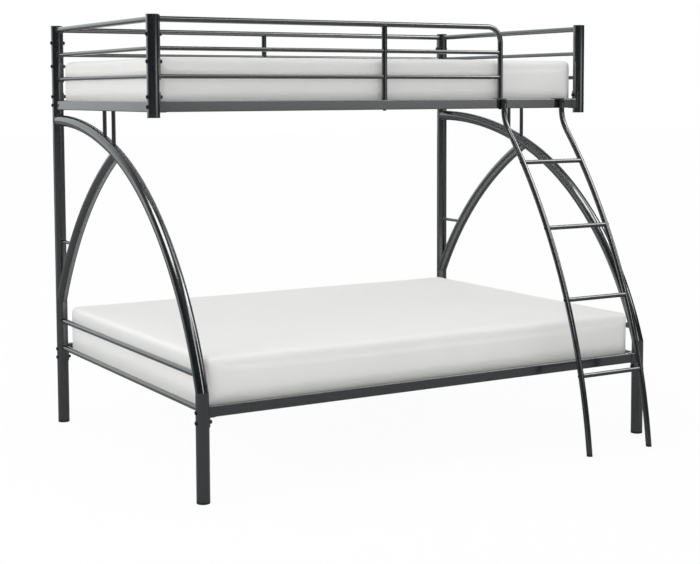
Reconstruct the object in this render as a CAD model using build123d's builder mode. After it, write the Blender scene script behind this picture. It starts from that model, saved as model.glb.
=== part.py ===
from build123d import *
import math
import os

os.makedirs("parts", exist_ok=True)

# Twin over full bunk bed of bent and welded steel tube, in millimetres.
# X runs along the bed, the ladder side faces -Y, Z is up, and the bed stands on Z = 0.

# Main frame, measured between the centre lines of its upright tubes
frame_length = 1950.0
bunk_depth = 1036.0
base_extra_depth = 390.0

# Heights of the two beds' side rails, the rise from the bunk's rail to its top rail, and the posts' ends
bunk_rail_centre = 1350.5
base_rail_centre = 316.0
guard_rise = 314.5
post_top_margin = 17.0
bunk_post_drop = 39.5

# Round tube for the posts and the legs, with its plastic plugs
post_diameter = 47.5
post_wall = 1.5
plug_flange = 3.0
plug_stem = 22.0
plug_clearance = 0.2
glide_height = 9.0

# Curved end tubes
arch_diameter = 46.0
arch_wall = 1.5
arch_start_drop = 63.5
arch_straight = 29.0
arch_first_turn = 18.9
arch_end_turn = 71.2
arch_landing_lift = 66.0
back_arch_diameter = 44.0
back_arch_foot_lift = 204.0
back_arch_reach_share = 0.6458
back_arch_bow_share = 1.6658
spindle_reach_share = 0.526
spindle_spacing_share = 0.0907
brace_height_share = 0.396
brace_diameter = 14.0

# Round rails and bars of the bunk's ends and guards
rail_tube_diameter = 22.0
bar_diameter = 16.0
bar_wall = 1.2
middle_bar_share = 0.669
lower_bar_share = 0.348
base_end_top_lift = 122.0
base_end_bottom_lift = 7.0

# Flat sided rails along the bed and under the bunk's ends
rail_height = 38.0
rail_depth = 25.0
rail_wall = 1.5
rail_corner = 3.0

# Brackets that join the rails and the guards to the posts
saddle_thickness = 3.0
bracket_width = 34.0
sleeve_length = 17.0
sleeve_wall = 1.5
sleeve_clearance = 0.2
guard_plate_width = 20.0
guard_plate_margin = 14.0

# Bolts through the posts, with their nuts
bolt_diameter = 8.0
bolt_clearance = 0.4
bolt_head_diameter = 16.0
bolt_head_height = 5.0
bolt_head_round = 3.0
bolt_end = 2.0
bolt_spacing = 36.0
nut_width = 13.0
nut_height = 6.5
nut_sides = 6
upper_guard_bolt_share = 0.828
lower_guard_bolt_share = 0.517

# Guard rails
guard_bend_radius = 62.0
quarter_turn = 90.0
guard_post_share = 0.5
foot_bolt_diameter = 6.0
foot_bolt_head_diameter = 13.0
foot_bolt_head_height = 4.0
insert_length = 16.0

# Ladder
ladder_end_gap = 263.0
ladder_width = 301.0
ladder_tube_diameter = 23.0
ladder_wall = 1.5
ladder_top_drop = 2.0
ladder_bend_drop = 16.5
ladder_bend_radius = 144.0
ladder_splay = 39.4
ladder_bow_share = 1.9218
first_rung_share = 0.1177
rung_pitch_share = 0.2192
rung_count = 4
rung_diameter = 18.0
rung_bolt_diameter = 6.0
rung_bolt_head_diameter = 11.0
rung_bolt_head_height = 3.5
hook_width = 45.0
hook_thickness = 3.0
hook_clearance = 0.3
hook_slot_clearance = 1.0
hook_tail = 9.0
hook_bolt_drop = 9.0

# Slats and what carries them
slat_count = 12
slat_width = 30.0
slat_height = 12.0
slat_corner = 3.0
slat_end_gap = 6.0
slat_drop = 24.0
ledge_width = 20.0
ledge_height = 14.0
ledge_thickness = 2.0
ledge_end_gap = 90.0

# Mattresses
bunk_mattress_end_gap = 15.0
base_mattress_end_gap = 24.5
mattress_side_gap = 18.0
mattress_height = 190.0
mattress_crown = 6.0
mattress_edge_round = 20.0
mattress_foot_round = 5.0
mattress_corner_round = 30.0
mattress_side_draw = 2.0
soft_clearance = 0.3

# One overrun for every cut
overrun = 20.0

# Worked out from the sizes above
post_radius = post_diameter / 2
end_x = frame_length / 2
base_depth = bunk_depth + base_extra_depth
top_rail_height = bunk_rail_centre + guard_rise
middle_bar_height = bunk_rail_centre + guard_rise * middle_bar_share
lower_bar_height = bunk_rail_centre + guard_rise * lower_bar_share
upper_guard_bolt_height = bunk_rail_centre + guard_rise * upper_guard_bolt_share
lower_guard_bolt_height = bunk_rail_centre + guard_rise * lower_guard_bolt_share
bed_height = top_rail_height + post_top_margin
bunk_post_bottom = bunk_rail_centre - bunk_post_drop
arch_start_height = bunk_rail_centre - arch_start_drop
arch_landing_height = base_rail_centre + arch_landing_lift
base_end_top_height = base_rail_centre + base_end_top_lift
guard_post_offset = (guard_post_share - 1 / 2) * frame_length
ladder_centre = end_x - ladder_end_gap
ladder_bend_height = bunk_rail_centre - ladder_bend_drop
bunk_mattress_length = frame_length - 2 * bunk_mattress_end_gap
base_mattress_length = frame_length - 2 * base_mattress_end_gap
bunk_mattress_width = bunk_depth - 2 * mattress_side_gap
base_mattress_width = base_depth - 2 * mattress_side_gap
ladder_radius = ladder_tube_diameter / 2
rail_top = bunk_rail_centre + rail_height / 2
rail_bottom = bunk_rail_centre - rail_height / 2
ladder_top_height = rail_top - ladder_top_drop
ladder_top_reach = bunk_depth + rail_depth / 2 + hook_clearance + hook_thickness + ladder_radius
knee_height = ladder_bend_height - ladder_bend_radius * math.sin(math.radians(ladder_splay))
ladder_bow_radius = ladder_bow_share * knee_height
knee_reach = ladder_top_reach + ladder_bend_radius * (1 - math.cos(math.radians(ladder_splay)))
foot_sine = math.sin(math.radians(ladder_splay)) - knee_height / ladder_bow_radius
ladder_foot_angle = math.degrees(math.asin(foot_sine))
foot_reach = knee_reach + ladder_bow_radius * (
    math.cos(math.radians(ladder_foot_angle)) - math.cos(math.radians(ladder_splay))
)
ladder_front = foot_reach + ladder_radius / math.cos(math.radians(ladder_foot_angle))
ladder_sides = {"left": ladder_centre - ladder_width / 2, "right": ladder_centre + ladder_width / 2}
front_guard_reach = ladder_sides["left"]
back_y = (post_radius + ladder_front) / 2 - post_radius
bunk_front_y = back_y - bunk_depth
base_front_y = back_y - base_depth
base_end_bottom_height = base_rail_centre + base_end_bottom_lift

first_sine = math.sin(math.radians(arch_first_turn))
first_cosine = math.cos(math.radians(arch_first_turn))
end_sine = math.sin(math.radians(arch_end_turn))
end_cosine = math.cos(math.radians(arch_end_turn))
arch_run = base_depth - arch_straight
arch_drop = arch_start_height - arch_landing_height
arch_solver = first_sine * (first_cosine - end_cosine) - (end_sine - first_sine) * (1 - first_cosine)
arch_first_radius = (
    arch_run * (first_cosine - end_cosine) - arch_drop * (end_sine - first_sine)
) / arch_solver
arch_second_radius = (arch_drop * first_sine - arch_run * (1 - first_cosine)) / arch_solver

sides = {"left": -1, "right": 1}


def write_piece(piece, name):
    """Label a finished piece and write it to its own file."""
    piece.label = name
    export_step(piece, f"parts/{name}.step")


def end_plane(x):
    """The upright plane of one end: reach from the back posts, then height."""
    return Plane(origin=(x, back_y, 0), x_dir=(0, -1, 0), z_dir=(-1, 0, 0))


def straight_tube(start, end, diameter, wall, cutters=()):
    """A straight round tube, or a rod where it has no wall, trimmed to the pieces it is welded to."""
    run = Vector(*end) - Vector(*start)
    with BuildPart() as tube:
        with BuildSketch(Plane(origin=start, z_dir=run)):
            Circle(diameter / 2)
            if wall:
                Circle(diameter / 2 - wall, mode=Mode.SUBTRACT)
        extrude(amount=run.length)
        for cutter in cutters:
            add(cutter, mode=Mode.SUBTRACT)
    return tube.part


def bent_tube(path, diameter, wall, cutters=()):
    """A round tube, or a rod where it has no wall, bent along a path of lines and arcs."""
    with BuildPart() as tube:
        with BuildSketch(Plane(origin=path @ 0, z_dir=path % 0)):
            Circle(diameter / 2)
            if wall:
                Circle(diameter / 2 - wall, mode=Mode.SUBTRACT)
        sweep(path=path)
        for cutter in cutters:
            add(cutter, mode=Mode.SUBTRACT)
    return tube.part


def upright_rod(x, y, radius):
    """A tall cutter on an upright's centre line."""
    return straight_tube((x, y, -overrun), (x, y, bed_height + overrun), 2 * radius, 0)


def flat_tube(start, end, cutters=()):
    """A level length of the flat sided rail."""
    run = Vector(*end) - Vector(*start)
    with BuildPart() as rail:
        with BuildSketch(Plane(origin=start, x_dir=run.cross(Vector(0, 0, 1)), z_dir=run)):
            RectangleRounded(rail_depth, rail_height, rail_corner)
            RectangleRounded(
                rail_depth - 2 * rail_wall,
                rail_height - 2 * rail_wall,
                rail_corner - rail_wall,
                mode=Mode.SUBTRACT,
            )
        extrude(amount=run.length)
        for cutter in cutters:
            add(cutter, mode=Mode.SUBTRACT)
    return rail.part


# Bolt places: each post with the heights of the bolts that cross it
guard_bolts = [upper_guard_bolt_height, lower_guard_bolt_height]
bunk_rail_bolts = [bunk_rail_centre, bunk_rail_centre + bolt_spacing]
base_rail_bolts = [base_rail_centre, base_rail_centre - bolt_spacing]
post_hole = bolt_diameter + 2 * bolt_clearance


def cross_rods(x, y, heights):
    """Cutters for the bolt holes along X through the upright that stands at x, y."""
    reach = post_radius + overrun
    return [
        straight_tube((x - reach, y, height), (x + reach, y, height), post_hole, 0) for height in heights
    ]


def post_tube(x, y, bottom, top, heights):
    """A post with the holes for its bolts."""
    return straight_tube((x, y, bottom), (x, y, top), post_diameter, post_wall, cross_rods(x, y, heights))


# Back posts: one straight tube each, from the glide to the top plug
for side, sign in sides.items():
    heights = guard_bolts + bunk_rail_bolts + base_rail_bolts
    back_post = post_tube(sign * end_x, back_y, glide_height, bed_height - plug_flange, heights)
    write_piece(back_post, f"back_post_{side}")

# Short front posts of the bunk, open at both ends; only the left one carries a guard
for side, sign in sides.items():
    heights = bunk_rail_bolts + (guard_bolts if side == "left" else [])
    bunk_post = post_tube(
        sign * end_x, bunk_front_y, bunk_post_bottom + plug_flange, bed_height - plug_flange, heights
    )
    write_piece(bunk_post, f"bunk_front_post_{side}")


def mitre_plane(x):
    """The plane where a curved end tube meets the top of its front leg."""
    arrival = Vector(0, -end_cosine, -end_sine) + Vector(0, 0, -1)
    return Plane(origin=(x, base_front_y, arch_landing_height), z_dir=arrival.normalized())


# Front legs: short tubes cut to the mitre of the curved end tubes
for side, sign in sides.items():
    leg_x = sign * end_x
    with BuildPart() as front_leg:
        with BuildSketch(Plane.XY.offset(glide_height)):
            with Locations((leg_x, base_front_y)):
                Circle(post_radius)
                Circle(post_radius - post_wall, mode=Mode.SUBTRACT)
        extrude(amount=arch_landing_height - glide_height + post_radius)
        split(bisect_by=mitre_plane(leg_x), keep=Keep.TOP)
        for hole in cross_rods(leg_x, base_front_y, base_rail_bolts):
            add(hole, mode=Mode.SUBTRACT)
    write_piece(front_leg.part, f"front_leg_{side}")


def main_arch_path(x):
    """Level at the back post, then two curves down to the front leg and past the mitre."""
    with BuildLine(end_plane(x)) as path:
        start = Line((0, arch_start_height), (arch_straight, arch_start_height))
        crown = JernArc(start @ 1, start % 1, arch_first_radius, -arch_first_turn)
        fall = JernArc(crown @ 1, crown % 1, arch_second_radius, arch_first_turn - arch_end_turn)
        Line(fall @ 1, fall @ 1 + (fall % 1) * arch_diameter)
    return path.line


def arch_height_at(reach):
    """Height of the main arch's centre line at a distance from the back posts."""
    crown_end = arch_straight + arch_first_radius * first_sine
    if reach <= crown_end:
        share = (reach - arch_straight) / arch_first_radius
        return arch_start_height - arch_first_radius * (1 - math.sqrt(1 - share**2))
    sine = first_sine + (reach - crown_end) / arch_second_radius
    crown_drop = arch_first_radius * (1 - first_cosine)
    return arch_start_height - crown_drop - arch_second_radius * (first_cosine - math.sqrt(1 - sine**2))


back_arch_foot_height = base_rail_centre + back_arch_foot_lift
back_arch_reach = bunk_depth * back_arch_reach_share
back_arch_rise = arch_height_at(back_arch_reach) - back_arch_foot_height
back_arch_radius = back_arch_bow_share * math.hypot(back_arch_reach, back_arch_rise)
spindle_reaches = [
    bunk_depth * spindle_reach_share,
    bunk_depth * (spindle_reach_share + spindle_spacing_share),
]
brace_rise = brace_height_share * back_arch_rise


def back_arch_path(x):
    """One curve from the back post up to the main arch."""
    with BuildLine(end_plane(x)) as path:
        foot = (0, back_arch_foot_height)
        head = (back_arch_reach, back_arch_foot_height + back_arch_rise)
        RadiusArc(foot, head, back_arch_radius)
    return path.line


# Curved ends: main arch, back arch, two spindles and a short brace on each side
braces = []
for side, sign in sides.items():
    x = sign * end_x
    post_rod = upright_rod(x, back_y, post_radius)
    with BuildPart() as main_arch:
        add(bent_tube(main_arch_path(x), arch_diameter, arch_wall, [post_rod]))
        split(bisect_by=mitre_plane(x), keep=Keep.BOTTOM)
    write_piece(main_arch.part, f"main_arch_{side}")
    main_rod = bent_tube(main_arch_path(x), arch_diameter, 0)

    back_arch = bent_tube(back_arch_path(x), back_arch_diameter, arch_wall, [post_rod, main_rod])
    write_piece(back_arch, f"back_arch_{side}")
    back_rod = bent_tube(back_arch_path(x), back_arch_diameter, 0)

    with BuildPart() as spindles:
        for reach in spindle_reaches:
            y = back_y - reach
            foot = (x, y, arch_height_at(reach))
            head = (x, y, bunk_rail_centre - rail_height / 2)
            add(straight_tube(foot, head, bar_diameter, bar_wall, [main_rod]))
    write_piece(spindles.part, f"arch_spindles_{side}")

    brace_height = back_arch_foot_height + brace_rise
    brace_end = back_y - brace_height_share * back_arch_reach
    brace = straight_tube(
        (x, back_y, brace_height),
        (x, brace_end, brace_height),
        brace_diameter,
        bar_wall,
        [post_rod, back_rod],
    )
    braces.append(brace.solids().sort_by(Axis.Y)[-1])

    # The base's end rails: the top one meets the main arch, the bottom one the leg
    leg_rod = upright_rod(x, base_front_y, post_radius)
    for name, height, cutters in (
        ("top", base_end_top_height, [post_rod, main_rod]),
        ("bottom", base_end_bottom_height, [post_rod, leg_rod]),
    ):
        start = (x, back_y, height)
        end = (x, base_front_y, height)
        rail = straight_tube(start, end, rail_tube_diameter, bar_wall, cutters)
        write_piece(rail.solids().sort_by(SortBy.VOLUME)[-1], f"base_end_{name}_rail_{side}")

    # The bunk's end: a thick top rail, two bars and a flat sided bearer
    bunk_rods = [post_rod, upright_rod(x, bunk_front_y, post_radius)]
    start = (x, back_y, top_rail_height)
    end = (x, bunk_front_y, top_rail_height)
    top_rail = straight_tube(start, end, rail_tube_diameter, bar_wall, bunk_rods)
    write_piece(top_rail, f"bunk_end_top_rail_{side}")
    with BuildPart() as end_bars:
        for height in (middle_bar_height, lower_bar_height):
            start = (x, back_y, height)
            end = (x, bunk_front_y, height)
            add(straight_tube(start, end, bar_diameter, bar_wall, bunk_rods))
    write_piece(end_bars.part, f"bunk_end_bars_{side}")
    bearer = flat_tube((x, back_y, bunk_rail_centre), (x, bunk_front_y, bunk_rail_centre), bunk_rods)
    write_piece(bearer, f"bunk_end_bearer_{side}")
with BuildPart() as arch_braces:
    for brace in braces:
        add(brace)
write_piece(arch_braces.part, "arch_braces")


def saddle(x, y, inward, width, bottom, top):
    """A strip bent round the inward side of a post."""
    with BuildPart() as strip:
        with BuildSketch(Plane.XY.offset(bottom)):
            with Locations((x, y)):
                Circle(post_radius + saddle_thickness)
                Circle(post_radius, mode=Mode.SUBTRACT)
            with Locations((x + inward * post_diameter, y)):
                Rectangle(2 * post_diameter, width, mode=Mode.INTERSECT)
        extrude(amount=top - bottom)
    return strip.part


def rail_bracket(x, y, inward, centre, heights):
    """A saddle strip with a short sleeve that takes the rail's end, drilled for two bolts."""
    reach = post_radius + saddle_thickness
    bottom = min([centre - rail_height / 2] + [height - bolt_head_diameter for height in heights])
    top = max([centre + rail_height / 2] + [height + bolt_head_diameter for height in heights])
    post_rod = upright_rod(x, y, post_radius)
    opening = 2 * sleeve_clearance
    with BuildPart() as bracket:
        add(saddle(x, y, inward, bracket_width, bottom, top))
        with BuildSketch(Plane(origin=(x, y, centre), x_dir=(0, inward, 0), z_dir=(inward, 0, 0))):
            RectangleRounded(
                rail_depth + opening + 2 * sleeve_wall,
                rail_height + opening + 2 * sleeve_wall,
                rail_corner + sleeve_clearance + sleeve_wall,
            )
            RectangleRounded(
                rail_depth + opening,
                rail_height + opening,
                rail_corner + sleeve_clearance,
                mode=Mode.SUBTRACT,
            )
        extrude(amount=reach + sleeve_length)
        for cutter in [post_rod] + cross_rods(x, y, heights):
            add(cutter, mode=Mode.SUBTRACT)
    return bracket.part


def saddle_rods(y):
    """Cutters round the posts of one side that leave room for their saddle strips."""
    return [upright_rod(sign * end_x, y, post_radius + saddle_thickness) for sign in sides.values()]


# Side rails of the bunk and the base, each between two brackets
for level, centre, front_y, heights in (
    ("bunk", bunk_rail_centre, bunk_front_y, bunk_rail_bolts),
    ("base", base_rail_centre, base_front_y, base_rail_bolts),
):
    for face, y in (("front", front_y), ("back", back_y)):
        cutters = saddle_rods(y)
        if level == "bunk":
            places = [guard_post_offset] + ([front_guard_reach] if face == "front" else [])
            cutters += [upright_rod(place, y, foot_bolt_diameter / 2 + bolt_clearance) for place in places]
        rail = flat_tube((-end_x, y, centre), (end_x, y, centre), cutters)
        write_piece(rail, f"{level}_side_rail_{face}")
    with BuildPart() as brackets:
        for y in (front_y, back_y):
            for sign in sides.values():
                add(rail_bracket(sign * end_x, y, -sign, centre, heights))
    write_piece(brackets.part, f"{level}_rail_brackets")


def guard_plate(x, y, inward):
    """A narrow saddle strip that carries the ends of a guard's tubes."""
    bottom = lower_bar_height - guard_plate_margin
    top = top_rail_height + guard_plate_margin
    with BuildPart() as plate:
        add(saddle(x, y, inward, guard_plate_width, bottom, top))
        for cutter in cross_rods(x, y, guard_bolts):
            add(cutter, mode=Mode.SUBTRACT)
    return plate.part


# Front guard: a tube along the top that turns down to the side rail, short of the ladder
front_plane = Plane(origin=(0, bunk_front_y, 0), x_dir=(1, 0, 0), z_dir=(0, -1, 0))
left_saddle_rod = saddle_rods(bunk_front_y)[0]
with BuildLine(front_plane) as guard_path:
    level_run = Line((-end_x, top_rail_height), (front_guard_reach - guard_bend_radius, top_rail_height))
    corner = JernArc(level_run @ 1, level_run % 1, guard_bend_radius, -quarter_turn)
    Line(corner @ 1, (front_guard_reach, rail_top))
front_guard = bent_tube(guard_path.line, rail_tube_diameter, bar_wall, [left_saddle_rod])
write_piece(front_guard, "front_guard_rail")
front_guard_rod = bent_tube(guard_path.line, rail_tube_diameter, 0)
middle_front_post = straight_tube(
    (guard_post_offset, bunk_front_y, rail_top),
    (guard_post_offset, bunk_front_y, top_rail_height),
    rail_tube_diameter,
    bar_wall,
    [front_guard_rod],
)
write_piece(middle_front_post, "front_guard_post")
guard_post_rod = upright_rod(guard_post_offset, bunk_front_y, rail_tube_diameter / 2)
with BuildPart() as front_guard_bars:
    for height in (middle_bar_height, lower_bar_height):
        start = (-end_x, bunk_front_y, height)
        end = (front_guard_reach, bunk_front_y, height)
        add(
            straight_tube(
                start, end, bar_diameter, bar_wall, [left_saddle_rod, guard_post_rod, front_guard_rod]
            )
        )
write_piece(front_guard_bars.part, "front_guard_bars")

# Back guard: the full length of the bunk, between the two back posts
start = (-end_x, back_y, top_rail_height)
end = (end_x, back_y, top_rail_height)
back_guard = straight_tube(start, end, rail_tube_diameter, bar_wall, saddle_rods(back_y))
write_piece(back_guard, "back_guard_rail")
back_guard_rod = straight_tube(start, end, rail_tube_diameter, 0)
middle_back_post = straight_tube(
    (guard_post_offset, back_y, rail_top),
    (guard_post_offset, back_y, top_rail_height),
    rail_tube_diameter,
    bar_wall,
    [back_guard_rod],
)
write_piece(middle_back_post, "back_guard_post")
back_post_rod = upright_rod(guard_post_offset, back_y, rail_tube_diameter / 2)
with BuildPart() as back_guard_bars:
    for height in (middle_bar_height, lower_bar_height):
        start = (-end_x, back_y, height)
        end = (end_x, back_y, height)
        add(straight_tube(start, end, bar_diameter, bar_wall, saddle_rods(back_y) + [back_post_rod]))
write_piece(back_guard_bars.part, "back_guard_bars")

with BuildPart() as guard_plates:
    add(guard_plate(-end_x, bunk_front_y, 1))
    for sign in sides.values():
        add(guard_plate(sign * end_x, back_y, -sign))
write_piece(guard_plates.part, "guard_plates")

# Bolts that hold the guards down to the side rails, and the threaded plugs that they run into
foot_places = [
    (guard_post_offset, bunk_front_y),
    (front_guard_reach, bunk_front_y),
    (guard_post_offset, back_y),
]
with BuildPart() as foot_bolts:
    with BuildSketch(Plane.XY.offset(rail_bottom)):
        with Locations(*foot_places):
            Circle(foot_bolt_diameter / 2)
    extrude(amount=rail_height + insert_length)
    with BuildSketch(Plane.XY.offset(rail_bottom)):
        with Locations(*foot_places):
            Circle(foot_bolt_head_diameter / 2)
    extrude(amount=-foot_bolt_head_height)
    fillet(foot_bolts.edges().group_by(Axis.Z)[0], foot_bolt_head_height / 2)
write_piece(foot_bolts.part, "guard_foot_bolts")
with BuildPart() as foot_inserts:
    with BuildSketch(Plane.XY.offset(rail_top)):
        with Locations(*foot_places):
            Circle(rail_tube_diameter / 2 - bar_wall)
            Circle(foot_bolt_diameter / 2, mode=Mode.SUBTRACT)
    extrude(amount=insert_length)
write_piece(foot_inserts.part, "guard_foot_inserts")


def post_bolt(x, y, height, inward):
    """A round headed bolt whose head is outside the post."""
    length = post_diameter + saddle_thickness + nut_height + bolt_end
    with BuildPart() as bolt:
        with BuildSketch(Plane(origin=(x - inward * post_radius, y, height), z_dir=(inward, 0, 0))):
            Circle(bolt_diameter / 2)
        extrude(amount=length)
        with BuildSketch(Plane(origin=(x - inward * post_radius, y, height), z_dir=(inward, 0, 0))):
            Circle(bolt_head_diameter / 2)
        extrude(amount=-bolt_head_height)
        fillet(bolt.edges().sort_by(Axis.X, reverse=inward < 0)[0], bolt_head_round)
    return bolt.part


def post_nut(x, y, height, inward):
    """A hexagon nut against the strip on the post's inward side."""
    face = x + inward * (post_radius + saddle_thickness)
    with BuildPart() as nut:
        with BuildSketch(Plane(origin=(face, y, height), z_dir=(inward, 0, 0))):
            RegularPolygon(nut_width / 2, nut_sides, major_radius=False)
            Circle(bolt_diameter / 2, mode=Mode.SUBTRACT)
        extrude(amount=nut_height)
    return nut.part


# Every bolt through the posts, as one set of bolts and one of nuts
bolt_places = []
for sign in sides.values():
    x = sign * end_x
    bolt_places += [(x, back_y, z, -sign) for z in guard_bolts + bunk_rail_bolts + base_rail_bolts]
    bolt_places += [(x, bunk_front_y, z, -sign) for z in bunk_rail_bolts]
    bolt_places += [(x, base_front_y, z, -sign) for z in base_rail_bolts]
bolt_places += [(-end_x, bunk_front_y, z, 1) for z in guard_bolts]
with BuildPart() as bolts:
    for place in bolt_places:
        add(post_bolt(*place))
write_piece(bolts.part, "post_bolts")
with BuildPart() as nuts:
    for place in bolt_places:
        add(post_nut(*place))
write_piece(nuts.part, "post_nuts")


# Plastic plugs in the ends of the posts and glides under the legs
def plug(x, y, seat, outward, flange):
    """A plug with a rounded flange on the end of a post and a stem inside it."""
    end_face = Plane(origin=(x, y, seat), z_dir=(0, 0, outward))
    with BuildPart() as cap:
        with BuildSketch(end_face):
            Circle(post_radius)
        extrude(amount=flange)
        fillet(cap.edges().sort_by(Axis.Z, reverse=outward > 0)[0], plug_flange / 2)
        with BuildSketch(end_face):
            Circle(post_radius - post_wall - plug_clearance)
        extrude(amount=-plug_stem)
    return cap.part


back_places = [(sign * end_x, back_y) for sign in sides.values()]
bunk_places = [(sign * end_x, bunk_front_y) for sign in sides.values()]
leg_places = [(sign * end_x, base_front_y) for sign in sides.values()]
with BuildPart() as post_plugs:
    for place in back_places + bunk_places:
        add(plug(*place, bed_height - plug_flange, 1, plug_flange))
    for place in bunk_places:
        add(plug(*place, bunk_post_bottom + plug_flange, -1, plug_flange))
write_piece(post_plugs.part, "post_plugs")
with BuildPart() as leg_glides:
    for place in back_places + leg_places:
        add(plug(*place, glide_height, -1, glide_height))
write_piece(leg_glides.part, "leg_glides")


# Ladder rails: straight at the hook, a tight bend outwards, then one long bow down to the floor
def ladder_path(x):
    with BuildLine(end_plane(x)) as path:
        hang = Line((ladder_top_reach, ladder_top_height), (ladder_top_reach, ladder_bend_height))
        knee = JernArc(hang @ 1, hang % 1, ladder_bend_radius, ladder_splay)
        bow = JernArc(knee @ 1, knee % 1, ladder_bow_radius, ladder_foot_angle - ladder_splay)
        Line(bow @ 1, bow @ 1 + (bow % 1) * ladder_tube_diameter)
    return path.line, bow


bow_curve = ladder_path(0)[1]
rung_points = [bow_curve @ (first_rung_share + rung_pitch_share * count) for count in range(rung_count)]
glide_plane = Plane.XY.offset(glide_height)
hook_bolt_height = ladder_top_height - hook_bolt_drop
hook_bolt_rods = [
    straight_tube(
        (x, back_y - ladder_top_reach - ladder_radius, hook_bolt_height),
        (x, back_y - ladder_top_reach + ladder_radius + hook_thickness, hook_bolt_height),
        rung_bolt_diameter,
        0,
    )
    for x in ladder_sides.values()
]
foot_angle = math.radians(ladder_foot_angle)
foot_way = Vector(0, math.sin(foot_angle), math.cos(foot_angle))
ladder_rods = []
feet = []
for side in sides:
    x = ladder_sides[side]
    path = ladder_path(x)[0]
    ladder_rods.append(bent_tube(path, ladder_tube_diameter, 0))
    rung_holes = [
        straight_tube(
            (x - ladder_tube_diameter, point.Y, point.Z),
            (x + ladder_tube_diameter, point.Y, point.Z),
            rung_bolt_diameter + 2 * bolt_clearance,
            0,
        )
        for point in rung_points
    ]
    with BuildPart() as ladder_rail:
        add(bent_tube(path, ladder_tube_diameter, ladder_wall, rung_holes + hook_bolt_rods))
        split(bisect_by=glide_plane, keep=Keep.TOP)
    write_piece(ladder_rail.part, f"ladder_rail_{side}")

    foot_point = Vector(x, back_y - foot_reach, 0)
    with BuildPart() as ladder_foot:
        with BuildSketch(Plane(origin=foot_point, z_dir=foot_way)):
            Circle(ladder_radius)
        extrude(amount=ladder_tube_diameter, both=True)
        split(bisect_by=Plane.XY, keep=Keep.TOP)
        split(bisect_by=glide_plane, keep=Keep.BOTTOM)
        with BuildSketch(Plane(origin=foot_point + foot_way * glide_height, z_dir=foot_way)):
            Circle(ladder_radius - ladder_wall - plug_clearance)
        extrude(amount=plug_stem)
    feet.append(ladder_foot.part)
with BuildPart() as ladder_feet:
    for foot in feet:
        add(foot)
write_piece(ladder_feet.part, "ladder_feet")

with BuildPart() as rungs:
    for point in rung_points:
        start = (ladder_sides["left"], point.Y, point.Z)
        end = (ladder_sides["right"], point.Y, point.Z)
        add(straight_tube(start, end, rung_diameter, bar_wall, ladder_rods))
write_piece(rungs.part, "ladder_rungs")

with BuildPart() as rung_inserts:
    for point in rung_points:
        for side, sign in sides.items():
            x = ladder_sides[side]
            start = (x - sign * ladder_radius, point.Y, point.Z)
            end = (x - sign * (ladder_radius + insert_length), point.Y, point.Z)
            insert_wall = (rung_diameter - rung_bolt_diameter) / 2 - bar_wall
            add(straight_tube(start, end, rung_diameter - 2 * bar_wall, insert_wall))
write_piece(rung_inserts.part, "rung_inserts")

with BuildPart() as rung_bolts:
    for point in rung_points:
        for side, sign in sides.items():
            outside = ladder_sides[side] + sign * ladder_radius
            inward_plane = Plane(origin=(outside, point.Y, point.Z), z_dir=(-sign, 0, 0))
            with BuildSketch(inward_plane):
                Circle(rung_bolt_diameter / 2)
            extrude(amount=ladder_tube_diameter + insert_length)
            with BuildSketch(inward_plane):
                Circle(rung_bolt_head_diameter / 2)
            extrude(amount=-rung_bolt_head_height)
write_piece(rung_bolts.part, "rung_bolts")

# Hooks: a steel strip on the back of each ladder rail that goes over the bunk's side rail
strip_front = bunk_depth + rail_depth / 2 + hook_clearance + hook_thickness
strip_back = bunk_depth - rail_depth / 2 - hook_clearance - hook_thickness
strip_top = rail_top + hook_clearance + hook_thickness
fork_half = rail_tube_diameter / 2 + hook_slot_clearance
with BuildPart() as hooks:
    for x in ladder_sides.values():
        with BuildSketch(end_plane(x)) as hook_outline:
            with BuildLine():
                Polyline(
                    (strip_front, rail_bottom),
                    (strip_front, strip_top),
                    (strip_back, strip_top),
                    (strip_back, rail_top - hook_tail),
                    (strip_back + hook_thickness, rail_top - hook_tail),
                    (strip_back + hook_thickness, rail_top + hook_clearance),
                    (strip_front - hook_thickness, rail_top + hook_clearance),
                    (strip_front - hook_thickness, rail_bottom),
                    close=True,
                )
            make_face()
        extrude(amount=hook_width / 2, both=True)
    with BuildSketch(Plane.XY.offset(rail_top - hook_tail - overrun)):
        for x in ladder_sides.values():
            with Locations((x, bunk_front_y + (rail_depth / 2 + overrun - fork_half) / 2)):
                Rectangle(2 * fork_half, fork_half + rail_depth / 2 + overrun)
    extrude(amount=hook_tail + hook_thickness + 2 * overrun, mode=Mode.SUBTRACT)
    for bolt_rod in hook_bolt_rods:
        add(bolt_rod, mode=Mode.SUBTRACT)
write_piece(hooks.part, "ladder_hooks")

# Bolts that clamp the hooks to the ladder rails, and plugs in the rails' top ends
with BuildPart() as hook_bolts:
    for bolt_rod in hook_bolt_rods:
        add(bolt_rod)
    for x in ladder_sides.values():
        head_start = (x, back_y - ladder_top_reach - ladder_radius, hook_bolt_height)
        with BuildSketch(Plane(origin=head_start, z_dir=(0, -1, 0))):
            Circle(rung_bolt_head_diameter / 2)
        extrude(amount=rung_bolt_head_height)
write_piece(hook_bolts.part, "ladder_hook_bolts")
with BuildPart() as ladder_plugs:
    ladder_places = [(x, back_y - ladder_top_reach) for x in ladder_sides.values()]
    with BuildSketch(Plane.XY.offset(ladder_top_height)):
        with Locations(*ladder_places):
            Circle(ladder_radius)
    extrude(amount=ladder_top_drop)
    with BuildSketch(Plane.XY.offset(ladder_top_height)):
        with Locations(*ladder_places):
            Circle(ladder_radius - ladder_wall - plug_clearance)
    extrude(amount=-hook_bolt_drop / 2)
write_piece(ladder_plugs.part, "ladder_top_plugs")


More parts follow.
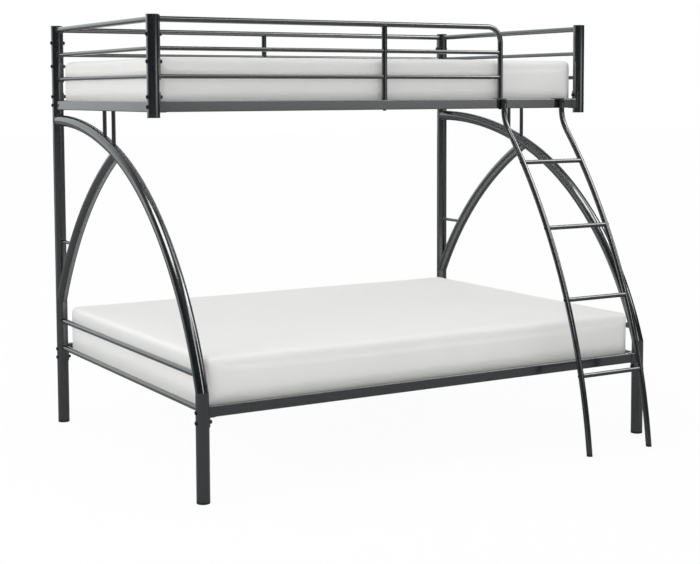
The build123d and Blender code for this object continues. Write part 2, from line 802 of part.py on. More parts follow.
# Slats: rounded steel strips on two angle ledges, twelve to a bed
def bed_base(level, centre, front_y):
    bottom = centre + rail_height / 2 - slat_drop - slat_height
    inside_front = front_y + rail_depth / 2
    inside_back = back_y - rail_depth / 2
    ledge_length = frame_length - 2 * ledge_end_gap
    with BuildPart() as ledges:
        for face, inward in ((inside_front, 1), (inside_back, -1)):
            ledge_start = (-inward * ledge_length / 2, face, bottom)
            with BuildSketch(Plane(origin=ledge_start, x_dir=(0, inward, 0), z_dir=(inward, 0, 0))):
                with BuildLine():
                    Polyline(
                        (0, -ledge_thickness),
                        (ledge_width, -ledge_thickness),
                        (ledge_width, 0),
                        (ledge_thickness, 0),
                        (ledge_thickness, ledge_height - ledge_thickness),
                        (0, ledge_height - ledge_thickness),
                        close=True,
                    )
                make_face()
            extrude(amount=ledge_length)
    write_piece(ledges.part, f"{level}_slat_ledges")
    slat_length = inside_back - inside_front - 2 * slat_end_gap
    slat_run = ledge_length - 2 * slat_width
    with BuildPart() as slats:
        with BuildSketch(Plane.XZ.offset(-inside_front - slat_end_gap)):
            with Locations((0, bottom + slat_height / 2)):
                with GridLocations(slat_run / (slat_count - 1), 0, slat_count, 1):
                    RectangleRounded(slat_width, slat_height, slat_corner)
                    RectangleRounded(
                        slat_width - 2 * bar_wall,
                        slat_height - 2 * bar_wall,
                        slat_corner - bar_wall,
                        mode=Mode.SUBTRACT,
                    )
        extrude(amount=-slat_length)
    write_piece(slats.part, f"{level}_slats")


bed_base("bunk", bunk_rail_centre, bunk_front_y)
bed_base("base", base_rail_centre, base_front_y)


# Mattresses: sides that draw in between the corners, rounded edges and a low crown
def mattress(length, width, bottom, middle_y):
    half_length = length / 2
    half_width = width / 2
    top = bottom + mattress_height
    shoulder = top - mattress_crown
    with BuildPart() as pad:
        with BuildSketch(Plane.XY.offset(bottom)) as outline:
            with BuildLine():
                ThreePointArc(
                    (-half_length, middle_y - half_width),
                    (0, middle_y - half_width + mattress_side_draw),
                    (half_length, middle_y - half_width),
                )
                ThreePointArc(
                    (half_length, middle_y - half_width),
                    (half_length - mattress_side_draw, middle_y),
                    (half_length, middle_y + half_width),
                )
                ThreePointArc(
                    (half_length, middle_y + half_width),
                    (0, middle_y + half_width - mattress_side_draw),
                    (-half_length, middle_y + half_width),
                )
                ThreePointArc(
                    (-half_length, middle_y + half_width),
                    (-half_length + mattress_side_draw, middle_y),
                    (-half_length, middle_y - half_width),
                )
            make_face()
            fillet(outline.vertices(), mattress_corner_round)
        extrude(amount=mattress_height)
        for plane, half_span, depth in (
            (Plane(origin=(0, middle_y, 0), x_dir=(1, 0, 0), z_dir=(0, -1, 0)), half_length, width),
            (Plane(origin=(0, middle_y, 0), x_dir=(0, 1, 0), z_dir=(1, 0, 0)), half_width, length),
        ):
            with BuildSketch(plane) as profile:
                with BuildLine():
                    ThreePointArc((-half_span, shoulder), (0, top), (half_span, shoulder))
                    Line((half_span, shoulder), (half_span, bottom))
                    Line((half_span, bottom), (-half_span, bottom))
                    Line((-half_span, bottom), (-half_span, shoulder))
                make_face()
                fillet(profile.vertices().group_by(Axis.Y)[-1], mattress_edge_round)
                fillet(profile.vertices().group_by(Axis.Y)[0], mattress_foot_round)
            extrude(amount=depth, both=True, mode=Mode.INTERSECT)
    return pad.part


for level, length, width, centre, front_y in (
    ("bunk", bunk_mattress_length, bunk_mattress_width, bunk_rail_centre, bunk_front_y),
    ("base", base_mattress_length, base_mattress_width, base_rail_centre, base_front_y),
):
    bottom = centre + rail_height / 2 - slat_drop + soft_clearance
    write_piece(mattress(length, width, bottom, (back_y + front_y) / 2), f"{level}_mattress")
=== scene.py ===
import math

import bmesh
import bpy
from mathutils import Matrix, Vector, noise


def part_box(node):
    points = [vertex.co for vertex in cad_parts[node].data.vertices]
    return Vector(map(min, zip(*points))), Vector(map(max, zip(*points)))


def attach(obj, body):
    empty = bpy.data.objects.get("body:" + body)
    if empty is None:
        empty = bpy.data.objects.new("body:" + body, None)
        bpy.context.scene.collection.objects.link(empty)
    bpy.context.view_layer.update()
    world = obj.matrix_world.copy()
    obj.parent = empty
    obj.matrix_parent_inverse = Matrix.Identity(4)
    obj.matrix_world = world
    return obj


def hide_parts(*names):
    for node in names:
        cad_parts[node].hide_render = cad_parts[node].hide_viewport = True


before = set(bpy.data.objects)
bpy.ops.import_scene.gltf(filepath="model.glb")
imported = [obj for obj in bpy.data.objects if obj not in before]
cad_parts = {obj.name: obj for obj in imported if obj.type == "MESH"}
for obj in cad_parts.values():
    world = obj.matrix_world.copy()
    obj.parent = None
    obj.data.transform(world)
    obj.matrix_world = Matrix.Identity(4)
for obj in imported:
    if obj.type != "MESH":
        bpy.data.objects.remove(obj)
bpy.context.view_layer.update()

# Camera: a long lens at the foot end of the left side, a little above the upper bed's rail,
# tipped down a few degrees, with the picture area shifted down to keep the posts upright.
camera_place = (-2.9587, -4.9884, 1.4006)
camera_heading = -30.472
camera_tip = 4.395
camera_lean = -0.211
camera_data = bpy.data.cameras.new("camera")
camera_data.sensor_width = 36
camera_data.lens = 73.095
camera_data.shift_y = -0.115
camera_data.clip_end = 200
camera = bpy.data.objects.new("camera", camera_data)
bpy.context.scene.collection.objects.link(camera)
camera.matrix_world = (
    Matrix.Translation(camera_place)
    @ Matrix.Rotation(math.radians(camera_heading), 4, "Z")
    @ Matrix.Rotation(math.radians(90 - camera_tip), 4, "X")
    @ Matrix.Rotation(math.radians(camera_lean), 4, "Z")
)
bpy.context.scene.camera = camera


# Posts, legs, arches, rails and bars: cold drawn steel tube, cut, bent and welded, then degreased
# and powder coated in a satin gunmetal black. The coat has a fine orange peel, flows a little thick
# and thin over each tube, and holds a trace of metal flake.
class Signal:
    """A value that varies over a surface; arithmetic on it adds Math nodes."""

    def __init__(self, finish, socket):
        self.finish = finish
        self.socket = socket

    def output(self, name):
        """Another output of the same node."""
        return Signal(self.finish, self.socket.node.outputs[name])

    def math(self, operation, first, second):
        return self.finish.node("ShaderNodeMath", {"operation": operation}, {0: first, 1: second})

    def __add__(self, other):
        return self.math("ADD", self, other)

    def __sub__(self, other):
        return self.math("SUBTRACT", self, other)

    def __rsub__(self, other):
        return self.math("SUBTRACT", other, self)

    def __radd__(self, other):
        return self.math("ADD", other, self)

    def __mul__(self, other):
        return self.math("MULTIPLY", self, other)

    def __rmul__(self, other):
        return self.math("MULTIPLY", other, self)

    def rise(self, low, high):
        """0 below low, 1 above high, smooth between."""
        return self.finish.node(
            "ShaderNodeMapRange",
            {"interpolation_type": "SMOOTHSTEP"},
            {"Value": self, "From Min": low, "From Max": high},
        )


class Finish:
    """A surface finish: its nodes, and the shader that they feed."""

    def __init__(self, owner):
        owner.use_nodes = True
        self.owner = owner
        self.tree = owner.node_tree
        self.tree.nodes.clear()

    def node(self, kind, settings=None, inputs=None, output=0):
        made = self.tree.nodes.new(kind)
        for name, value in (settings or {}).items():
            setattr(made, name, value)
        for name, value in (inputs or {}).items():
            if isinstance(value, Signal):
                self.tree.links.new(value.socket, made.inputs[name])
            else:
                made.inputs[name].default_value = value
        return Signal(self, made.outputs[output]) if made.outputs else None

    def place(self):
        return self.node("ShaderNodeTexCoord", output="Object")

    def grain(self, cells, detail=2.0, roughness=0.5):
        """Soft random variation, with its cells counted to the metre."""
        return self.node(
            "ShaderNodeTexNoise",
            None,
            {"Vector": self.place(), "Scale": cells, "Detail": detail, "Roughness": roughness},
        )

    def blend(self, amount, first, second):
        return self.node(
            "ShaderNodeMix",
            {"data_type": "RGBA"},
            {0: amount, 6: (*first, 1.0), 7: (*second, 1.0)},
            2,
        )

    def relief(self, height, depth):
        return self.node("ShaderNodeBump", None, {"Height": height, "Distance": depth})

    def surface(self, **sockets):
        names = {name.replace("_", " "): value for name, value in sockets.items()}
        shader = self.node("ShaderNodeBsdfPrincipled", None, names)
        self.node("ShaderNodeOutputMaterial", None, {"Surface": shader})
        return self.owner


flow_cells = 38.0
peel_cells = 620.0
flake_cells = 5200.0


def powder_coat(name, thick, thin, gloss, peel_depth):
    """A coat from its colours where it lies thick and thin, its roughness and its peel's depth."""
    coat = Finish(bpy.data.materials.new(name))
    flow = coat.grain(flow_cells, 3.0)
    peel = coat.grain(peel_cells, 2.0, 0.55)
    flake = coat.grain(flake_cells, 0.0).rise(0.62, 0.74)
    return coat.surface(
        Base_Color=coat.blend(flow.rise(0.3, 0.7) * 0.7 + flake * 0.3, thick, thin),
        Metallic=0.12 + flake * 0.25,
        Roughness=gloss + flow * 0.07 + peel * 0.04,
        Specular_IOR_Level=1.0,
        IOR=1.7,
        Coat_Weight=0.6,
        Coat_Roughness=0.085,
        Coat_IOR=1.55,
        Normal=coat.relief(peel * 0.8 + flow * 0.2, peel_depth),
    )


gunmetal = powder_coat(
    "gunmetal_powder_coat", (0.005, 0.0068, 0.008), (0.009, 0.0118, 0.0135), 0.11, 0.000005
)


def finish_nodes(material, *names):
    """Give the frame's own pieces a finish and keep their shapes."""
    for name in names:
        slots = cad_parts[name].data.materials
        slots.clear()
        slots.append(material)


both_ends = ("left", "right")
both_beds = ("bunk", "base")
upright_tubes = ("back_post", "bunk_front_post", "front_leg")
arched_tubes = ("main_arch", "back_arch", "arch_spindles")
finish_nodes(
    gunmetal,
    *[f"{tube}_{end}" for tube in upright_tubes + arched_tubes for end in both_ends],
    *[f"base_end_{rail}_rail_{end}" for rail in ("top", "bottom") for end in both_ends],
    *[f"bunk_end_{tube}_{end}" for tube in ("top_rail", "bars", "bearer") for end in both_ends],
    "arch_braces",
    "front_guard_rail",
    "front_guard_post",
    "front_guard_bars",
    "back_guard_rail",
    "back_guard_post",
    "back_guard_bars",
)

# Side rails, brackets and slat ledges: the same steel as rolled flat sided tube and pressed strip,
# coated in the same batch, with its colours set lighter: painted reflection of the bright room.
# The lighter colours of this copy of the coat are painted reflection.
flat_gunmetal_painted_reflection = powder_coat(
    "flat_steel_coat_painted_reflection", (0.0075, 0.0098, 0.0115), (0.013, 0.0165, 0.019), 0.17, 0.000012
)
finish_nodes(
    flat_gunmetal_painted_reflection,
    *[f"{bed}_side_rail_{face}" for bed in both_beds for face in ("front", "back")],
    *[f"{bed}_{piece}" for bed in both_beds for piece in ("rail_brackets", "slat_ledges", "slats")],
    "guard_plates",
)

# Welds: a small rippled bead all round each place where one tube ends on another, laid before
# coating, so it has the coat's colour and is a little duller where the ripples hold it.
weld_coat = powder_coat(
    "gunmetal_over_weld", (0.0065, 0.0085, 0.009), (0.012, 0.0145, 0.0155), 0.26, 0.0001
)
post_x = 0.975
guard_end_x = 0.5615
back_y = 0.80545
bunk_front_y = back_y - 1.036
base_front_y = back_y - 1.426
bunk_rail_z = 1.3505
base_rail_z = 0.316
guard_rise = 0.3145
top_rail_z = bunk_rail_z + guard_rise
bar_heights = (bunk_rail_z + guard_rise * 0.669, bunk_rail_z + guard_rise * 0.348)
base_bottom_rail_z = 0.323
base_top_rail_z = 0.438
arch_top_z = 1.287
brace_z = 0.52 + 0.396 * 0.651
post_radius = 0.02375
strip_radius = post_radius + 0.003
arch_radius = 0.023
rail_radius = 0.011
bar_radius = 0.008
brace_radius = 0.007
rail_bead = 0.0019
arch_bead = 0.0024
bar_bead = 0.0015
bead_corners = 7
bead_steps = 44
weld_mesh = bmesh.new()


def bead(points, radius):
    """A closed rippled bead along a loop of points."""
    rings = []
    count = len(points)
    for index, point in enumerate(points):
        way = (points[(index + 1) % count] - points[index - 1]).normalized()
        side = way.orthogonal().normalized()
        if rings:
            side = (previous_side - way * previous_side.dot(way)).normalized()
        previous_side = side
        up = way.cross(side)
        ripple = 0.13 * math.cos(index * math.pi / 2) + 0.08 * noise.noise(point * 900)
        swell = radius * (1 + ripple)
        turns = [math.tau * step / bead_corners for step in range(bead_corners)]
        rings.append(
            [
                weld_mesh.verts.new(point + swell * (math.cos(turn) * side + math.sin(turn) * up))
                for turn in turns
            ]
        )
    for index in range(count):
        here, following = rings[index], rings[(index + 1) % count]
        for step in range(bead_corners):
            corner = (step + 1) % bead_corners
            weld_mesh.faces.new((here[step], here[corner], following[corner], following[step]))


def weld(joint, way, radius, host_way, host_radius, bead_radius=rail_bead):
    """Run a bead where a tube that points along way meets the wall of its host tube.

    Joint is where the two tubes' centre lines cross.
    """
    side = way.orthogonal().normalized()
    up = way.cross(side)
    flat_way = way - host_way * way.dot(host_way)
    points = []
    for step in range(bead_steps):
        angle = math.tau * step / bead_steps
        away = radius * (math.cos(angle) * side + math.sin(angle) * up)
        start = Vector(joint) + away
        away -= host_way * away.dot(host_way)
        a = flat_way.length_squared
        b = away.dot(flat_way)
        c = away.length_squared - host_radius * host_radius
        inside = max(b * b - a * c, 0.0)
        points.append(start + way * ((-b - math.sqrt(inside)) / a))
    bead(points, bead_radius)


along_x = Vector((1, 0, 0))
along_y = Vector((0, 1, 0))
upright = Vector((0, 0, 1))
guard_tubes = [(top_rail_z, rail_radius)] + [(z, bar_radius) for z in bar_heights]
for sign in (-1, 1):
    x = sign * post_x
    for z, radius in guard_tubes:
        weld((x, back_y, z), along_y, radius, upright, post_radius)
        weld((x, bunk_front_y, z), -along_y, radius, upright, post_radius)
        weld((x, back_y, z), sign * along_x, radius, upright, strip_radius)
    weld((x, back_y, base_bottom_rail_z), along_y, rail_radius, upright, post_radius)
    weld((x, base_front_y, base_bottom_rail_z), -along_y, rail_radius, upright, post_radius)
    weld((x, back_y, base_top_rail_z), along_y, rail_radius, upright, post_radius)
    weld((x, back_y, arch_top_z), along_y, arch_radius, upright, post_radius, arch_bead)
    weld((x, back_y, brace_z), along_y, brace_radius, upright, post_radius)
for z, radius in guard_tubes:
    weld((-post_x, bunk_front_y, z), -along_x, radius, upright, strip_radius)
for z in bar_heights:
    for y in (bunk_front_y, back_y):
        for sign in (-1, 1):
            weld((0, y, z), -sign * along_x, bar_radius, upright, rail_radius, bar_bead)
    weld((guard_end_x, bunk_front_y, z), along_x, bar_radius, upright, rail_radius, bar_bead)
for y in (bunk_front_y, back_y):
    weld((0, y, top_rail_z), upright, rail_radius, along_x, rail_radius, bar_bead)
welds = bpy.data.meshes.new("weld_beads")
weld_mesh.to_mesh(welds)
weld_mesh.free()
welds.materials.append(weld_coat)
welds.polygons.foreach_set("use_smooth", [True] * len(welds.polygons))
weld_beads = bpy.data.objects.new("weld_beads", welds)
bpy.context.scene.collection.objects.link(weld_beads)
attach(weld_beads, "frame")

# Plugs and glides: black polypropylene, moulded with a fine spark texture. They are pressed into
# the open tube ends; the glides and the ladder's feet are scuffed where they touch the floor.
plastic = Finish(bpy.data.materials.new("black_moulded_plastic"))
spark = plastic.grain(1500.0, 2.0, 0.6)
scuff = plastic.grain(160.0, 4.0, 0.7).rise(0.5, 0.75)
moulded_black = plastic.surface(
    Base_Color=plastic.blend(scuff * 0.5 + spark * 0.2, (0.012, 0.012, 0.013), (0.04, 0.04, 0.041)),
    Roughness=0.42 + spark * 0.16 + scuff * 0.12,
    Specular_IOR_Level=0.45,
    Normal=plastic.relief(spark, 0.00008),
)
finish_nodes(moulded_black, "post_plugs", "leg_glides", "ladder_top_plugs", "ladder_feet")

# Bolts through the posts: steel with a domed head and a hexagon socket, blackened and oiled. Each
# goes in from the outer end, through post and bracket, into a hexagon nut with chamfered corners.
steel = Finish(bpy.data.materials.new("blackened_bolt_steel"))
oil = steel.grain(260.0, 4.0, 0.6)
tool_marks = steel.grain(2400.0, 1.0)
blackened = steel.surface(
    Base_Color=steel.blend(oil.rise(0.35, 0.7), (0.018, 0.018, 0.02), (0.05, 0.05, 0.052)),
    Metallic=0.8,
    Roughness=0.26 + oil * 0.14 + tool_marks * 0.05,
    Normal=steel.relief(tool_marks, 0.00003),
)
finish_nodes(blackened, "guard_foot_bolts", "guard_foot_inserts", "rung_inserts")
round_steps = 24
hexagon = 6


def ring(mesh, place, radius, depth, corners=0):
    """One ring of a bolt or nut; with corners it follows a polygon of that many sides."""
    made = []
    for step in range(round_steps):
        angle = math.tau * step / round_steps
        reach = radius
        if corners:
            part = angle % (math.tau / corners) - math.pi / corners
            reach = radius * math.cos(math.pi / corners) / math.cos(part)
        spot = Vector((reach * math.cos(angle), reach * math.sin(angle), depth))
        made.append(mesh.verts.new(place @ spot))
    return made


def skin(mesh, rings):
    """Join rings into a closed surface."""
    for first, second in zip(rings, rings[1:]):
        for step in range(round_steps):
            corner = (step + 1) % round_steps
            mesh.faces.new((first[step], first[corner], second[corner], second[step]))
    mesh.faces.new(list(reversed(rings[0])))
    mesh.faces.new(rings[-1])


def socket_bolt(mesh, place, head, height, shank, length, socket):
    """A domed head whose underside is at depth 0 and whose shank runs to depth -length.

    Head, shank and socket are radii.
    """
    rings = [ring(mesh, place, shank * 0.9, -length)]
    rings.append(ring(mesh, place, shank, -length + shank * 0.2))
    rings.append(ring(mesh, place, shank, 0))
    rings.append(ring(mesh, place, head * 0.97, 0))
    rings.append(ring(mesh, place, head, height * 0.06))
    for share in (0.985, 0.93, 0.83, 0.7, 0.55):
        rings.append(ring(mesh, place, share * head, height * (1 - share * share) ** 0.5))
    mouth = height * 0.86
    rings.append(ring(mesh, place, socket * 1.12, mouth, hexagon))
    rings.append(ring(mesh, place, socket, mouth - height * 0.08, hexagon))
    rings.append(ring(mesh, place, socket, mouth - height * 0.5, hexagon))
    skin(mesh, rings)


def hardware(name, mesh, *replaced, body="frame"):
    """Make one piece of a set of bolts or nuts, which stands for the frame's own."""
    data = bpy.data.meshes.new(name)
    bmesh.ops.recalc_face_normals(mesh, faces=mesh.faces)
    mesh.to_mesh(data)
    mesh.free()
    data.materials.append(blackened)
    data.polygons.foreach_set("use_smooth", [True] * len(data.polygons))
    data.set_sharp_from_angle(angle=math.radians(38))
    piece = bpy.data.objects.new(name, data)
    bpy.context.scene.collection.objects.link(piece)
    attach(piece, body)
    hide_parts(*replaced)


def facing(point, way):
    """A place at point whose depth axis runs along way."""
    turn = Vector(way).to_track_quat("Z", "Y").to_matrix().to_4x4()
    return Matrix.Translation(point) @ turn


bolt_spacing = 0.036
guard_bolts = (bunk_rail_z + guard_rise * 0.828, bunk_rail_z + guard_rise * 0.517)
bunk_bolts = (bunk_rail_z, bunk_rail_z + bolt_spacing)
base_bolts = (base_rail_z, base_rail_z - bolt_spacing)
bolt_spots = []
for sign in (-1, 1):
    bolt_spots += [(sign, back_y, z) for z in guard_bolts + bunk_bolts + base_bolts]
    bolt_spots += [(sign, bunk_front_y, z) for z in bunk_bolts]
    bolt_spots += [(sign, base_front_y, z) for z in base_bolts]
bolt_spots += [(-1, bunk_front_y, z) for z in guard_bolts]
nut_height = 0.0065
nut_chamfer = 0.0006
bolt_mesh = bmesh.new()
nut_mesh = bmesh.new()
for sign, y, z in bolt_spots:
    outside = facing((sign * (post_x + post_radius), y, z), (sign, 0, 0))
    bolt_turn = noise.noise(Vector((sign, y, z)) * 7) * 2
    turned = outside @ Matrix.Rotation(bolt_turn, 4, "Z")
    socket_bolt(bolt_mesh, turned, 0.008, 0.005, 0.004, 0.059, 0.0026)
    inside = facing((sign * (post_x - strip_radius), y, z), (-sign, 0, 0))
    nut_turn = noise.noise(Vector((y, sign, z)) * 9) * 2
    inside = inside @ Matrix.Rotation(nut_turn, 4, "Z")
    skin(
        nut_mesh,
        [
            ring(nut_mesh, inside, 0.0065, 0),
            ring(nut_mesh, inside, 0.0075, nut_chamfer, hexagon),
            ring(nut_mesh, inside, 0.0075, nut_height - nut_chamfer, hexagon),
            ring(nut_mesh, inside, 0.0062, nut_height),
            ring(nut_mesh, inside, 0.0046, nut_height),
            ring(nut_mesh, inside, 0.0041, nut_height - 0.0005),
        ],
    )
hardware("post_bolt_set", bolt_mesh, "post_bolts")
hardware("post_nut_set", nut_mesh, "post_nuts")

# Ladder: two bent rails with bolted rungs, coated as the frame is but with the coat's colours set
# lighter: painted reflection. The rungs are lighter and smoother again in soft random patches,
# partly rubbed by feet and partly painted highlight for the light that their tops catch.
# The ladder coat's lighter colours are painted reflection.
ladder_coat_painted_reflection = powder_coat(
    "gunmetal_ladder_painted_reflection", (0.0085, 0.011, 0.012), (0.013, 0.016, 0.0175), 0.14, 0.000005
)
finish_nodes(ladder_coat_painted_reflection, "ladder_rail_left", "ladder_rail_right", "ladder_hooks")
tread = Finish(bpy.data.materials.new("worn_rung_coat_painted_highlight"))
tread_flow = tread.grain(flow_cells, 3.0)
tread_peel = tread.grain(peel_cells, 2.0, 0.55)
# Rubbed patches, lighter and smoother: partly wear, partly painted highlight.
rub_and_highlight = tread.grain(90.0, 4.0, 0.65).rise(0.42, 0.7)
worn_rung_painted_highlight = tread.surface(
    Base_Color=tread.blend(rub_and_highlight, (0.0095, 0.012, 0.013), (0.021, 0.025, 0.0265)),
    Metallic=0.3 + rub_and_highlight * 0.1,
    Roughness=0.2 + tread_flow * 0.06 - rub_and_highlight * 0.05,
    Specular_IOR_Level=1.0,
    IOR=1.75,
    Coat_Weight=0.6 - rub_and_highlight * 0.2,
    Coat_Roughness=0.13,
    Normal=tread.relief(tread_peel, 0.000005),
)
finish_nodes(worn_rung_painted_highlight, "ladder_rungs")
ladder_x = (guard_end_x, 0.8625)
ladder_radius = 0.0115
rung_places = [(-0.38850, 1.11484), (-0.54710, 0.86042), (-0.67257, 0.58814), (-0.76293, 0.30227)]
rung_bolt_mesh = bmesh.new()
for y, z in rung_places:
    for x, sign in zip(ladder_x, (-1, 1)):
        outside = facing((x + sign * ladder_radius, y, z), (sign, 0, 0))
        socket_bolt(rung_bolt_mesh, outside, 0.0055, 0.0035, 0.003, 0.03, 0.002)
hardware("rung_bolt_set", rung_bolt_mesh, "rung_bolts", body="ladder")
hook_face_y = bunk_front_y - 0.0388
hook_bolt_z = 1.3585
hook_bolt_mesh = bmesh.new()
for x in ladder_x:
    outside = facing((x, hook_face_y, hook_bolt_z), (0, -1, 0))
    socket_bolt(hook_bolt_mesh, outside, 0.0055, 0.0035, 0.003, 0.0265, 0.002)
hardware("hook_bolt_set", hook_bolt_mesh, "ladder_hook_bolts", body="ladder")

# Mattresses: a sprung core under foam, in a close fitting off white knitted cover with no piping.
# Each lies loose on its slats; the cover's tension rounds the edges, draws the long sides in
# between the corners and lets the top rise in a low crown.
cover = Finish(bpy.data.materials.new("off_white_knitted_cover"))
stitch = cover.node(
    "ShaderNodeTexVoronoi",
    {"feature": "SMOOTH_F1"},
    {"Vector": cover.place(), "Scale": 520.0, "Smoothness": 0.6},
)
yarn = cover.grain(2600.0, 2.0)
slack = cover.grain(5.0, 3.0, 0.45)
shade = cover.grain(11.0, 3.0)
knitted_cover = cover.surface(
    Base_Color=cover.blend(
        shade * 0.5 + stitch * 0.35 + yarn * 0.25, (0.79, 0.79, 0.775), (0.855, 0.855, 0.845)
    ),
    Roughness=0.82 + yarn * 0.12,
    Specular_IOR_Level=0.25,
    Sheen_Weight=0.25,
    Sheen_Roughness=0.4,
    Normal=cover.node(
        "ShaderNodeBump",
        None,
        {
            "Height": slack,
            "Distance": 0.004,
            "Normal": cover.relief(stitch * -1.0 + yarn * 0.3, 0.00025),
        },
    ),
)
swell_room = 0.002
corner_rounding = 0.029
top_rounding = 0.019
foot_rounding = 0.005
crown_height = 0.006
waviness = 0.0012
side_draw = 0.002
cloth_steps = 14


def mattress(name, node, body):
    """Round off a block, let its cover swell under pressure, then crown it and draw it in."""
    low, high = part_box(node)
    size = high - low
    middle = (low + high) / 2
    mesh = bmesh.new()
    bmesh.ops.create_cube(mesh, size=1.0)
    bmesh.ops.scale(mesh, vec=size - Vector((1, 1, 1)) * 2 * swell_room, verts=mesh.verts)
    corners = [edge for edge in mesh.edges if abs(edge.verts[0].co.z - edge.verts[1].co.z) > 0.01]
    bmesh.ops.bevel(
        mesh, geom=corners, offset=corner_rounding, segments=8, profile=0.5, affect="EDGES"
    )
    for level, rounding in ((1, top_rounding), (-1, foot_rounding)):
        rim_z = size.z * 0.47
        rim = [edge for edge in mesh.edges if all(v.co.z * level > rim_z for v in edge.verts)]
        bmesh.ops.bevel(mesh, geom=rim, offset=rounding, segments=7, profile=0.5, affect="EDGES")
    bmesh.ops.translate(mesh, vec=middle, verts=mesh.verts)
    data = bpy.data.meshes.new(name)
    mesh.to_mesh(data)
    mesh.free()
    data.materials.append(knitted_cover)
    piece = bpy.data.objects.new(name, data)
    bpy.context.scene.collection.objects.link(piece)
    bpy.context.view_layer.objects.active = piece

    even = piece.modifiers.new("even", "REMESH")
    even.mode = "VOXEL"
    even.voxel_size = 0.009
    bpy.ops.object.modifier_apply(modifier="even")
    rest = [vertex.co.copy() for vertex in piece.data.vertices]
    cloth = piece.modifiers.new("tension", "CLOTH")
    cloth.settings.quality = 3
    cloth.settings.mass = 0.3
    cloth.settings.use_pressure = True
    cloth.settings.uniform_pressure_force = 4.0
    cloth.settings.effector_weights.gravity = 0
    cloth.point_cache.frame_start = 1
    cloth.point_cache.frame_end = cloth_steps
    for step in range(1, cloth_steps + 1):
        bpy.context.scene.frame_set(step)
    bpy.ops.object.modifier_apply(modifier="tension")
    bpy.context.scene.frame_set(1)
    for vertex, start in zip(piece.data.vertices, rest):
        moved = vertex.co - start
        if moved.length > swell_room:
            moved *= swell_room / moved.length
        spot = start + moved
        along = min(abs(spot.x - middle.x) / size.x * 2, 1.0)
        across = min(abs(spot.y - middle.y) / size.y * 2, 1.0)
        height = (spot.z - low.z) / size.z
        crown = (1 - along**4) * (1 - across**4)
        spot.z += crown_height * (crown - 1) * max(height - 0.3, 0)
        spot.z += waviness * noise.noise(spot * 3.1) * height
        drawn = side_draw * (1 - along**2) * across**8
        spot.y -= math.copysign(drawn, spot.y - middle.y)
        drawn = side_draw * (1 - across**2) * along**8
        spot.x -= math.copysign(drawn, spot.x - middle.x)
        for axis in range(3):
            spot[axis] = min(max(spot[axis], low[axis]), high[axis])
        vertex.co = spot
    smooth = piece.modifiers.new("smooth", "SMOOTH")
    smooth.factor = 0.5
    smooth.iterations = 2
    bpy.ops.object.modifier_apply(modifier="smooth")
    finer = piece.modifiers.new("finer", "SUBSURF")
    finer.levels = 1
    finer.render_levels = 1
    bpy.ops.object.modifier_apply(modifier="finer")
    piece.data.polygons.foreach_set("use_smooth", [True] * len(piece.data.polygons))
    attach(piece, body)
    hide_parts(node)


mattress("upper_mattress_pad", "bunk_mattress", "upper_mattress")
mattress("lower_mattress_pad", "base_mattress", "lower_mattress")

# Floor: a plain pale studio floor that fades to the white backdrop and keeps a soft shadow. The
# coated steel mirrors a darker floor than the one that is seen.
reach = 40.0
floor_data = bpy.data.meshes.new("floor")
floor_corners = [(-reach, -reach, 0), (reach, -reach, 0), (reach, reach, 0), (-reach, reach, 0)]
floor_data.from_pydata(floor_corners, [], [(0, 1, 2, 3)])
floor = bpy.data.objects.new("floor", floor_data)
bpy.context.scene.collection.objects.link(floor)
ground = Finish(bpy.data.materials.new("studio_floor"))
seen = ground.node("ShaderNodeLightPath", output="Is Camera Ray")
in_gloss = seen.output("Is Glossy Ray")
pale = ground.node("ShaderNodeBsdfDiffuse", None, {"Color": (0.9, 0.9, 0.9, 1)})
dark = ground.node("ShaderNodeBsdfDiffuse", None, {"Color": (0.1, 0.11, 0.12, 1)})
white = ground.node("ShaderNodeEmission", None, {"Color": (1, 1, 1, 1), "Strength": 1.0})
lit = ground.node("ShaderNodeMixShader", None, {0: in_gloss * 0.8, 1: pale, 2: dark})
faded = ground.node("ShaderNodeMixShader", None, {0: seen * 0.87, 1: lit, 2: white})
ground.node("ShaderNodeOutputMaterial", None, {"Surface": faded})
floor_data.materials.append(ground.owner)

# Room: white all round as the camera and clear things see it, a plain level for lighting, and
# for the coated steel a bright far wall and a dim ceiling, with the near side dark.
world = bpy.data.worlds.new("white_room")
bpy.context.scene.world = world
room = Finish(world)
camera_ray = room.node("ShaderNodeLightPath", output="Is Camera Ray")
glossy_ray = camera_ray.output("Is Glossy Ray")
clear_ray = camera_ray.output("Is Transmission Ray")
direction = room.node("ShaderNodeTexCoord", output="Generated")
rightwards = room.node("ShaderNodeSeparateXYZ", None, {0: direction})
backwards = rightwards.output("Y")
upwards = rightwards.output("Z")
far_wall = backwards.rise(0.25, 0.85)
ceiling = upwards.rise(0.4, 0.9) * (0.1 + 0.22 * rightwards.rise(0.3, 0.6))
walls = room.blend(
    far_wall + ceiling * (1.0 - far_wall), (0.03, 0.033, 0.037), (0.93, 0.985, 1.0)
)
plain = room.node("ShaderNodeBackground", None, {"Color": (1, 1, 1, 1), "Strength": 0.62})
reflected = room.node("ShaderNodeBackground", None, {"Color": walls, "Strength": 1.0})
backdrop = room.node("ShaderNodeBackground", None, {"Color": (1, 1, 1, 1), "Strength": 1.0})
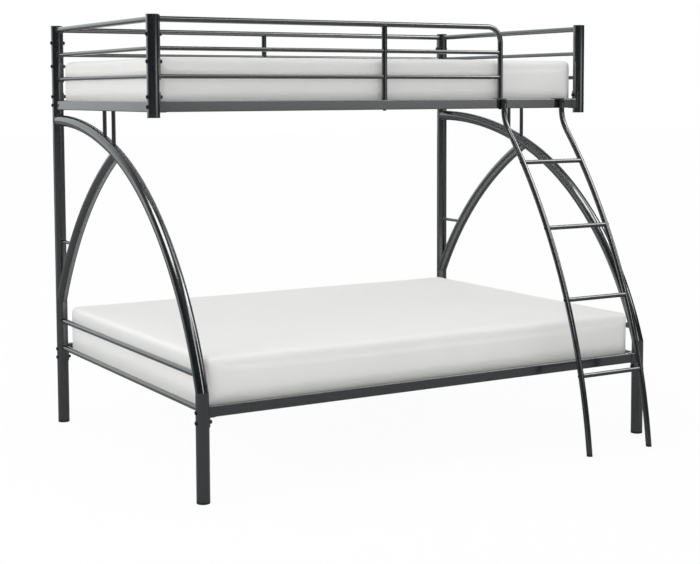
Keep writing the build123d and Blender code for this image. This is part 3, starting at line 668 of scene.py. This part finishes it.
unseen = room.node("ShaderNodeMixShader", None, {0: glossy_ray, 1: plain, 2: reflected})
whole = room.node("ShaderNodeMixShader", None, {0: camera_ray + clear_ray, 1: unseen, 2: backdrop})
room.node("ShaderNodeOutputWorld", None, {"Surface": whole})

# Lamps: one broad lamp overhead that reaches the lower bed as well as the upper one, and one soft
# window on the left. The panels light nothing; the steel mirrors them as long thin highlights.
overhead_data = bpy.data.lights.new("overhead", "SUN")
overhead_data.energy = 1.4
overhead_data.angle = math.radians(30)
overhead_data.use_shadow = False
overhead = bpy.data.objects.new("overhead", overhead_data)
bpy.context.scene.collection.objects.link(overhead)
overhead.rotation_euler = Vector((1.2, 0.5, -4.0)).to_track_quat("-Z", "Y").to_euler()


def panel(name, place, aim, watts, size, mirrored=True):
    """A soft oblong lamp, for the steel to mirror or for light alone."""
    data = bpy.data.lights.new(name, "AREA")
    data.energy = watts
    data.shape = "RECTANGLE"
    data.size, data.size_y = size
    made = bpy.data.objects.new(name, data)
    bpy.context.scene.collection.objects.link(made)
    made.visible_glossy = mirrored
    made.visible_diffuse = not mirrored
    made.location = place
    made.rotation_euler = (Vector(aim) - Vector(place)).to_track_quat("-Z", "Y").to_euler()


panel("left_window", (-5.0, -1.0, 2.4), (0, 0.1, 0.9), 32.0, (2.2, 2.2), mirrored=False)
panel("right_panel", (2.7, -5.0, 1.5), (0.2, -0.2, 1.35), 7.0, (3.2, 0.6))
panel("right_strip", (3.6, -2.7, 3.7), (-0.9, -0.5, 0.8), 50.0, (1.2, 3.0))
panel("front_strip", (-1.0, -6.0, 4.2), (-0.9, -0.5, 0.8), 50.0, (1.2, 3.0))
panel("back_left_strip", (-4.6, 3.2, 1.6), (0, 0, 1.2), 8.0, (0.9, 3.6))
panel("front_bar", (2.2, -2.6, 4.5), (0.2, -0.2, 1.5), 66.0, (5.5, 0.9))
panel("ceiling_panel", (3.1, -1.4, 4.3), (0.7, -0.5, 0.9), 38.0, (1.8, 4.4))

bpy.context.scene.view_settings.view_transform = "Standard"
